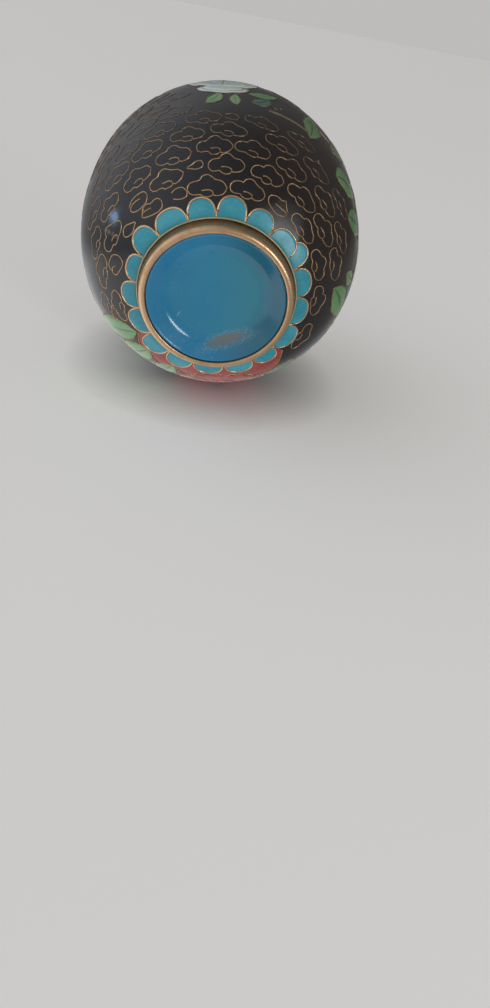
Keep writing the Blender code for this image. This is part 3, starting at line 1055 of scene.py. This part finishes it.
def leafFrame(base, tip, bend):
    # A leaf's or stem's middle line in mm from its base, bent sideways by bend sin pi t, with t from
    # 0 to 1 along it, and the way square to it
    middleRadius = radiusAt((base[1] + tip[1]) / 2)
    way = np.array([math.radians(tip[0] - base[0]) * middleRadius, tip[1] - base[1]])
    length = np.linalg.norm(way)
    sideways = np.array([-way[1], way[0]]) / length
    t = np.linspace(0, 1, picture["leafPoints"][1])
    line = way * t[:, None] + sideways * (bend * np.sin(math.pi * t))[:, None]
    along = np.gradient(line, axis=0)
    along /= np.linalg.norm(along, axis=1)[:, None]
    return t, line, np.stack([-along[:, 1], along[:, 0]], 1)


def addLeaf(cells, wires, base, tip, width, bend, drawn):
    # Half the width along the leaf: width / 2 sin(pi t^1.15)^0.85 (1 + 0.06 cos 7 pi t)
    t, line, sideways = leafFrame(base, tip, bend)
    half = width / 2 * np.sin(math.pi * t**1.15) ** 0.85 * (1 + 0.06 * np.cos(7 * math.pi * t))
    half = np.maximum(half, picture["leafTip"])
    across = np.linspace(-1, 1, picture["leafPoints"][0])[:, None, None]
    grid = line + sideways * half[:, None] * across
    turns, arcs = near(*base, grid[..., 0], grid[..., 1])
    addCell(cells, turns, arcs, np.abs(across[..., 0]) + 0 * t)
    edge = np.vstack([grid[0], grid[-1][-2:0:-1]])
    edge = evenly(np.vstack([edge, edge[:1]]), picture["leafWirePoints"] + 1)[:-1]
    addWire(wires, *near(*base, *edge.T), width=picture["edgeWire"], closed=True)
    drawn.append(np.stack([turns, arcs], -1).reshape(-1, 2)[::3])


def addSkirt(cells, wires, drawn):
    # The ground between the foot and its top arcs, with a wire along its upper edge
    at, top = np.array(picture["skirt"]).T
    rows, columns = picture["skirtPoints"]
    turns = np.linspace(at[0], at[-1], columns)
    tops = np.interp(turns, at, top)
    share = np.linspace(0, 1, rows)[:, None]
    arcs = picture["skirtLow"] + (tops - picture["skirtLow"]) * share
    addCell(cells, turns + 0 * share, arcs, 0.8, picture["skirtLift"])
    addWire(wires, turns, tops, width=picture["edgeWire"])
    drawn.append(np.stack([turns, tops], 1))


def buildPicture():
    # All cells by colour, with their wires; gives back the places that the clouds keep clear of
    cells = {colour: Heap() for colour in picture["pieces"]}
    wires, drawn = Heap(), []
    addSkirt(cells["red"], wires, drawn)
    for base, tip, bend in picture["stems"]:
        _, line, sideways = leafFrame(base, tip, bend)
        grid = line + sideways * picture["stemHalf"] * np.array([-1, 0, 1])[:, None, None]
        for edge in (grid[0], grid[-1]):
            addWire(wires, *near(*base, *edge.T), width=picture["stemWire"])
        addCell(cells["green"], *near(*base, grid[..., 0], grid[..., 1]), picture["stemTone"])
        drawn.append(np.stack(near(*base, *line.T), 1))
    for colour, base, tip, width, bend in picture["leaves"]:
        addLeaf(cells[colour], wires, base, tip, width, bend, drawn)
    for flower in picture["flowers"]:
        addFlower(cells[flower["colour"]], wires, flower, drawn)
    for colour, (name, slot) in picture["pieces"].items():
        cells[colour].make(name, paints[colour], slot)
    wires.make("pictureWires", paints["giltWire"], "gilt_wire")
    return np.vstack(drawn)


# Camera

camera = {
    "lens": 27.04,
    "sensor": 36.0,
    "frame": (490, 1008),
    "footPixel": (216.0, 302.9),  # the foot ring's centre in the picture
    "footAway": 110.12,  # millimetres in front of the camera
    "axis": (0.013, -0.6978, 0.7162),  # the jar's axis: right, down and away in the picture
    "side": -45,  # turn round the jar's axis at which the camera stands
}


def cameraAxes():
    # The foot's centre and the row frame's X, Y and Z, all as right, down and away in the picture
    focal = camera["lens"] / camera["sensor"] * max(camera["frame"])
    middle = [size / 2 for size in camera["frame"]]
    offset = [(p - m) / focal for p, m in zip(camera["footPixel"], middle)]
    centre = camera["footAway"] * Vector((*offset, 1))
    axis = Vector(camera["axis"]).normalized()
    level = -(centre - centre.dot(axis) * axis).normalized()  # towards the camera, square to the axis
    x = Matrix.Rotation(math.radians(-camera["side"]), 3, axis) @ level
    return centre, x, axis.cross(x), axis


def placeCamera():
    # The picture's right, up and back are the camera's own X, Y and Z
    centre, x, y, z = cameraAxes()
    toRow = Matrix((x, y, z))
    right, down, away = toRow.col
    turn = Matrix((right, -down, -away)).transposed().to_4x4()
    data = bpy.data.cameras.new("camera")
    data.lens, data.sensor_width = camera["lens"], camera["sensor"]
    data.clip_start, data.clip_end = 0.005, 20
    eye = bpy.data.objects.new("camera", data)
    eye.matrix_world = Matrix.Translation(toRow @ -centre * mm) @ turn
    bpy.context.scene.collection.objects.link(eye)
    bpy.context.scene.camera = eye
    print("camera at", [round(v / mm, 1) for v in eye.matrix_world.translation])


# Stage and light

stage = {
    "sideWay": (0.7402, -0.6529, 0.1606),  # square to the pale floor that the jar's side touches
    "size": 3000,
    "pale": (0.93, 0.91, 0.88),
    "glow": 0.2,  # its own light, so that it stays pale in the soft light
    "closeness": 11,  # to the jar, from where it gets darker
    "closed": 0.45,  # what is left of its colour where the jar touches it
    "backdrop": (0.510, 0.504, 0.494),  # what the camera sees past the floor
}
room = {
    # The soft light that the enamel mirrors, by the part of its direction along two ways
    "rightWay": (0.773, 0.634, 0.013),
    "rightEnds": (0.5, -0.95),  # where it is dimmest and brightest
    "dim": (0.21, 0.20, 0.19),
    "bright": (0.86, 0.89, 0.94),
    "awayWay": (-0.450, 0.534, 0.716),
    "awayEnds": (0.05, 0.7),
    "awayShade": 0.5,
    "sideEnds": (0.02, -0.22),  # directions that meet the pale floor at the jar's side
    "sideShare": 0.6,
    "sideDim": (0.34, 0.34, 0.33),
    "sideBright": (1.3, 1.3, 1.3),  # where that floor is lit, low on the left
    "litEnds": (-0.27, -0.44),
    "backEnds": (0.74, 0.92),  # a pale background, mirrored along the jar's outline
    "backShare": 0.8,
    "back": (0.42, 0.41, 0.40),
}
lights = {
    # direction from the jar, way of the long side, distance, length, width, radiance and colour
    "window": ((0.55, 0.32, -0.77), (-0.2, 0.95, 0.15), 500, 270, 110, 9.0, (0.95, 0.98, 1.0)),
    "sideWindow": ((-0.63, -0.77, -0.08), (0, 0, 1), 400, 90, 36, 6.0, (0.34, 0.58, 1.0)),
}


def stagePaint(name):
    # Plain and matt, with a painted shadow that darkens it close to the jar, and clear from behind
    paint = Paint(name, Roughness=0.7)
    inputs = {"Distance": stage["closeness"] * mm}
    # painted shadow: colour and glow fade towards the closed share near the jar
    shut = paint.node("ShaderNodeAmbientOcclusion", {"samples": 16}, inputs).outputs["AO"]
    closed = tuple(c * stage["closed"] for c in stage["pale"])
    glow = paint.mix(shut, (0.0, 0.0, 0.0), stage["pale"])
    paint.use(Base_Color=paint.mix(shut, closed, stage["pale"]), Emission_Color=glow)
    paint.shader.inputs["Emission Strength"].default_value = stage["glow"]
    side = paint.node("ShaderNodeNewGeometry", {}, {}).outputs["Backfacing"]
    clear = paint.node("ShaderNodeBsdfTransparent", {}, {})
    both = paint.node("ShaderNodeMixShader", {}, {0: side, 1: paint.shader.outputs[0], 2: clear.outputs[0]})
    output = paint.tree.nodes["Material Output"]
    paint.tree.links.new(both.outputs[0], output.inputs["Surface"])
    return paint


def stagePlane(name, normal, centre):
    # A square that faces along the normal, seen by the camera alone
    turn = Vector(normal).normalized().to_track_quat("Z", "Y").to_matrix()
    half = stage["size"] / 2 * mm
    corners = [turn @ Vector((x * half, y * half, 0)) + Vector(centre) * mm
               for x, y in ((-1, -1), (1, -1), (1, 1), (-1, 1))]
    mesh = bpy.data.meshes.new(name)
    mesh.from_pydata(corners, [], [(0, 1, 2, 3)])
    mesh.materials.append(stagePaint(name).material)
    plane = bpy.data.objects.new(name, mesh)
    bpy.context.scene.collection.objects.link(plane)
    plane.visible_diffuse = plane.visible_glossy = False
    plane.visible_transmission = plane.visible_shadow = False


def buildStage():
    # A floor that the jar's side touches, and one under its foot
    way = np.array(stage["sideWay"])
    way /= np.linalg.norm(way)
    level = math.hypot(way[0], way[1])
    # How far the jar reaches against the floor's normal, over its whole outline
    reach = float((outside[:, 0] * level - outside[:, 1] * way[2]).max())
    stagePlane("sideFloor", way, -reach * way)
    stagePlane("table", (0, 0, 1), (0, 0, 0))
    bpy.context.scene.view_settings.view_transform = "Standard"


def buildRoom():
    # Light = dim + (bright - dim) share, shaded where the direction leads away behind the jar;
    # the camera sees a plain backdrop instead
    world = bpy.data.worlds.new("room")
    sky = Nodes(world)
    direction = sky.node("ShaderNodeTexCoord", {}, {}).outputs["Generated"]

    def alongWay(way, ends, share=1.0):
        # 0 where the direction's part along the way is at the first end, the share at the second
        settings = {"operation": "DOT_PRODUCT"}
        along = sky.node("ShaderNodeVectorMath", settings, {0: direction, 1: way}).outputs["Value"]
        return Level(sky, along).between(*ends, share)

    side = alongWay(room["rightWay"], room["rightEnds"])
    away = alongWay(room["awayWay"], room["awayEnds"], room["awayShade"])
    colour = sky.mix(away, sky.mix(side, room["dim"], room["bright"]), (0.0, 0.0, 0.0))
    back = alongWay(room["awayWay"], room["backEnds"], room["backShare"])
    colour = sky.mix(back, colour, room["back"])
    floor = alongWay(stage["sideWay"], room["sideEnds"], room["sideShare"])
    lit = side * alongWay(stage["sideWay"], room["litEnds"])
    colour = sky.mix(floor, colour, sky.mix(lit, room["sideDim"], room["sideBright"]))
    seen = sky.node("ShaderNodeLightPath", {}, {}).outputs["Is Camera Ray"]
    colour = sky.mix(seen, colour, stage["backdrop"])
    sky.tree.links.new(colour, sky.tree.nodes["Background"].inputs["Color"])
    bpy.context.scene.world = world


def placeLights():
    # Watts = radiance times pi times the lamp's area in square metres
    for name, (way, longWay, distance, length, width, radiance, colour) in lights.items():
        way, longWay = Vector(way).normalized(), Vector(longWay)
        across = longWay.cross(way).normalized()
        data = bpy.data.lights.new(name, "AREA")
        data.shape = "ELLIPSE"
        data.size, data.size_y, data.color = width * mm, length * mm, colour
        data.energy = radiance * math.pi * width * length * mm * mm
        lamp = bpy.data.objects.new(name, data)
        middle = Vector((0, 0, jar["bellyHeight"] / 2))
        turn = Matrix((across, way.cross(across), way)).transposed().to_4x4()
        lamp.matrix_world = Matrix.Translation((middle + way * distance) * mm) @ turn
        bpy.context.scene.collection.objects.link(lamp)


placeCamera()
buildStage()
buildRoom()
placeLights()
buildBody()
buildRings()
buildScallops()
buildClouds(buildPicture())
